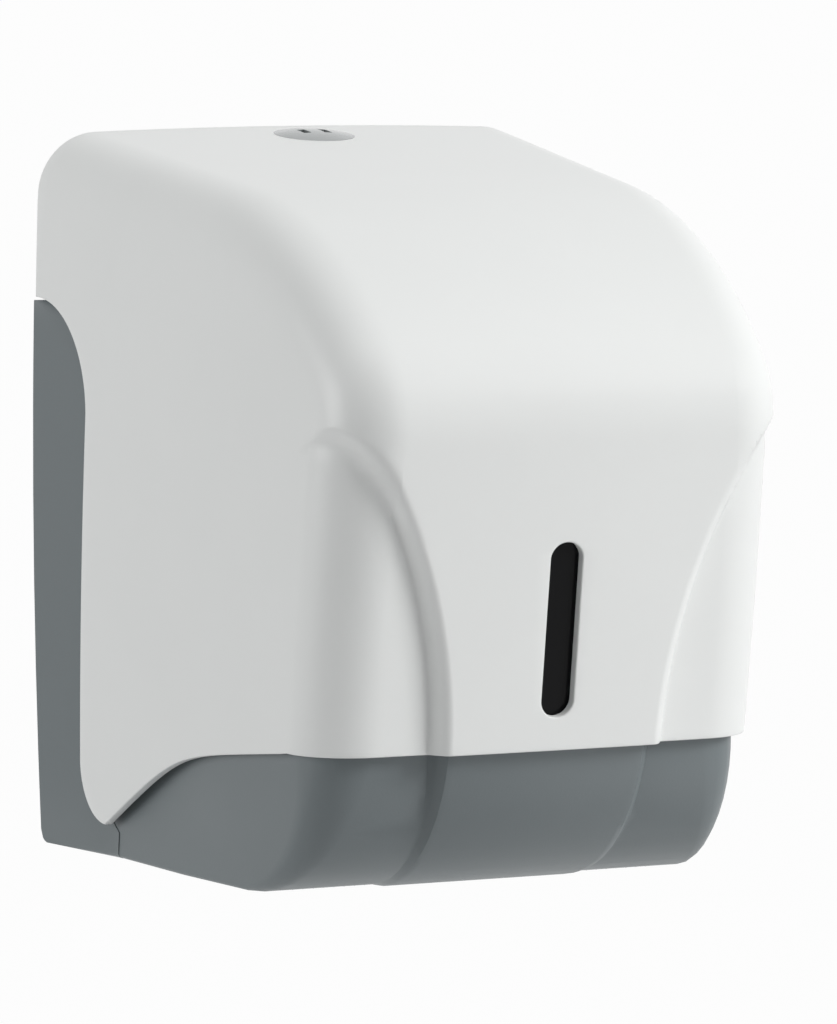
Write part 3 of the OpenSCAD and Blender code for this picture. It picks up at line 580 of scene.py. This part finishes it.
additions = [ring_solid("rib", rib_rings)]
holes = [ring_solid("slot", slot_rings), ring_solid("lock_hole", lock_rings)]
for side in (-1, 1):
    additions.append(ring_solid("boss", hinge_rings(side, boss_x, ear_x - cover_wall + boss_sunk, boss_r)))
    additions.append(ring_solid("peg", peg_rings(side * peg_x)))
    holes.append(ring_solid("bore", hinge_rings(side, boss_x - bore_clear, ear_x - ear_skin, bore_r)))
rim_round = 0.45
cover = shell_mesh("cover_shell", cover_surface(0), cover_surface(cover_wall))
rounding = cover.modifiers.new("rim", "BEVEL")
rounding.limit_method = "WEIGHT"
rounding.width = rim_round * mm
rounding.segments = 3
for tool in additions + holes:
    cut = cover.modifiers.new("cut", "BOOLEAN")
    cut.operation = "DIFFERENCE" if tool in holes else "UNION"
    cut.solver = "EXACT"
    cut.object = tool
settle(cover, additions + holes, sharpest=35)
# The white carries deep painted shade in its creases, which draws a dark line along the foot of the panel's
# step.
white_gloss = moulded_plastic("white_gloss", (0.79, 0.8, 0.79), roughness=0.38, grain=0.06, peel=0.07,
                              mottle=0.008, shine=0.42, crease_shade_tone=0.22)
finish_in(cover, white_gloss)
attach(cover, "cover")
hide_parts("cover")

# Sight window: a strip of dark clear plastic behind the slot, cut from sheet. Its two holes are pushed
# on the pegs inside the cover.
smoked = moulded_plastic("smoked", (0.004, 0.004, 0.0045), roughness=0.14, grain=0.02, peel=0.03, shine=0.1)
finish_in(nodes["window"], smoked)
smooth_over(nodes["window"], sharpest=30)

# Lock bezel: a dome of plated plastic with a soft shine, with two slots for the key's prongs. Its
# stem is pushed through the cover's top and held from inside by the steel ring.
soft_plate = drawn_metal("soft_plate", (0.34, 0.36, 0.36), roughness=0.2, grain_across=(3, 3, 3),
                         metallic=0.5)
finish_in(nodes["lock_bezel"], soft_plate)
smooth_over(nodes["lock_bezel"], sharpest=30)

# Studio: a pale floor well below the hanging dispenser, a white surround and four soft lamps. The front
# lamp is kept out of reflections, so that the nose shows no hard bright spot.
floor_drop = 1.3
floor_reach = 300
floor_whiteness = 0.97
floor_mesh = bpy.data.meshes.new("floor")
floor_mesh.from_pydata([(x * floor_reach, y * floor_reach, -floor_drop)
                        for x, y in ((-1, -1), (1, -1), (1, 1), (-1, 1))], [], [(0, 1, 2, 3)])
floor = bpy.data.objects.new("floor", floor_mesh)
bpy.context.scene.collection.objects.link(floor)


def seen_rays(tree):
    """1 for rays from the camera, or by way of metal or glass, and 0 for those that carry light."""
    path = shader_node(tree, "ShaderNodeLightPath")
    first = shader_node(tree, "ShaderNodeMath", operation="MAXIMUM")
    second = shader_node(tree, "ShaderNodeMath", operation="MAXIMUM")
    tree.links.new(path.outputs["Is Camera Ray"], first.inputs[0])
    tree.links.new(path.outputs["Is Glossy Ray"], first.inputs[1])
    tree.links.new(first.outputs[0], second.inputs[0])
    tree.links.new(path.outputs["Is Transmission Ray"], second.inputs[1])
    return second.outputs[0]


def blend(tree, share, lit, seen, result):
    """Gives the result two shaders: lit for the rays that carry light, seen for the others."""
    both = shader_node(tree, "ShaderNodeMixShader")
    tree.links.new(share, both.inputs["Fac"])
    tree.links.new(lit.outputs[0], both.inputs[1])
    tree.links.new(seen.outputs[0], both.inputs[2])
    tree.links.new(both.outputs[0], tree.nodes[result].inputs["Surface"])


pale_floor = bpy.data.materials.new("pale_floor")
pale_floor.use_nodes = True
floor_tree = pale_floor.node_tree
floor_paint = floor_tree.nodes["Principled BSDF"]
floor_paint.inputs["Base Color"].default_value = (0.9, 0.9, 0.9, 1)
floor_paint.inputs["Roughness"].default_value = 0.8
floor_glow = shader_node(floor_tree, "ShaderNodeEmission")
floor_share = shader_node(floor_tree, "ShaderNodeMath", operation="MULTIPLY")
floor_share.inputs[1].default_value = floor_whiteness
floor_tree.links.new(seen_rays(floor_tree), floor_share.inputs[0])
blend(floor_tree, floor_share.outputs[0], floor_paint, floor_glow, "Material Output")
finish_in(floor, pale_floor)

surround = bpy.data.worlds.new("surround")
surround.use_nodes = True
bpy.context.scene.world = surround
world_tree = surround.node_tree
soft_light = world_tree.nodes["Background"]
soft_light.inputs["Color"].default_value = (0.97, 0.99, 1, 1)
soft_light.inputs["Strength"].default_value = 0.3
white_behind = shader_node(world_tree, "ShaderNodeBackground")
white_behind.inputs["Color"].default_value = (1, 1, 1, 1)
blend(world_tree, seen_rays(world_tree), soft_light, white_behind, "World Output")

lamp_target = Vector((0, -0.09, 0))
for name, place, size, power in (("front_softbox", (1.42, -1.56, 1.04), 0.9, 34),
                                 ("top_softbox", (0.18, -1.11, 1.94), 2.4, 15.5),
                                 ("side_softbox", (-1.92, 0.25, 0.35), 1, 14.3),
                                 ("low_softbox", (0.8, -0.85, -0.75), 0.8, 2.4)):
    lamp = bpy.data.lights.new(name, "AREA")
    lamp.size = size
    lamp.energy = power
    holder = bpy.data.objects.new(name, lamp)
    holder.location = place
    holder.rotation_euler = (lamp_target - Vector(place)).to_track_quat("-Z", "Y").to_euler()
    holder.visible_glossy = name != "front_softbox"
    bpy.context.scene.collection.objects.link(holder)

# Dark screen: a black cloth behind the camera, which draws the rounded edges that face it. The
# camera does not see it from any side.
screen_turn = math.radians(-24.8)
screen_distance = 2.3
screen_half_width = 1.1
screen_bottom = -0.6
screen_top = 3
screen_middle = screen_distance * Vector((math.sin(screen_turn), -math.cos(screen_turn), 0))
screen_across = screen_half_width * Vector((math.cos(screen_turn), math.sin(screen_turn), 0))
screen_corners = ((-1, screen_bottom), (1, screen_bottom), (1, screen_top), (-1, screen_top))
screen_mesh = bpy.data.meshes.new("dark_screen")
screen_mesh.from_pydata([screen_middle + side * screen_across + Vector((0, 0, rise))
                         for side, rise in screen_corners], [], [(0, 1, 2, 3)])
screen = bpy.data.objects.new("dark_screen", screen_mesh)
bpy.context.scene.collection.objects.link(screen)
screen.visible_camera = False
finish_in(screen, moulded_plastic("black_cloth", (0.1, 0.1, 0.1), roughness=0.9, grain=0.1, peel=0.05))

# Camera: a long lens to the left of the front, a little above the middle of the dispenser. Its place
# and length were fitted to the edges in the photograph, and lengths here are in metres.
picture_height_px = 1024
focal_px = 6562.8
camera_turn = math.radians(-24.773)
camera_lift = math.radians(4.971)
camera_distance = 1.791056
picture_right = 0.001482
picture_down = 0.003133
subject = Vector((0, -0.08372, -0.00017))
backward = Vector((math.sin(camera_turn) * math.cos(camera_lift),
                   -math.cos(camera_turn) * math.cos(camera_lift), math.sin(camera_lift)))
rightward = Vector((math.cos(camera_turn), math.sin(camera_turn), 0))
upward = backward.cross(rightward)
eye = subject + backward * camera_distance
picture_middle = subject + rightward * picture_right - upward * picture_down
lens = bpy.data.cameras.new("camera")
lens.sensor_width = 36
lens.lens = lens.sensor_width * focal_px / picture_height_px
camera = bpy.data.objects.new("camera", lens)
camera.location = eye
camera.rotation_euler = (picture_middle - eye).to_track_quat("-Z", "Y").to_euler()
bpy.context.scene.collection.objects.link(camera)
bpy.context.scene.camera = camera
bpy.context.scene.view_settings.view_transform = "Standard"
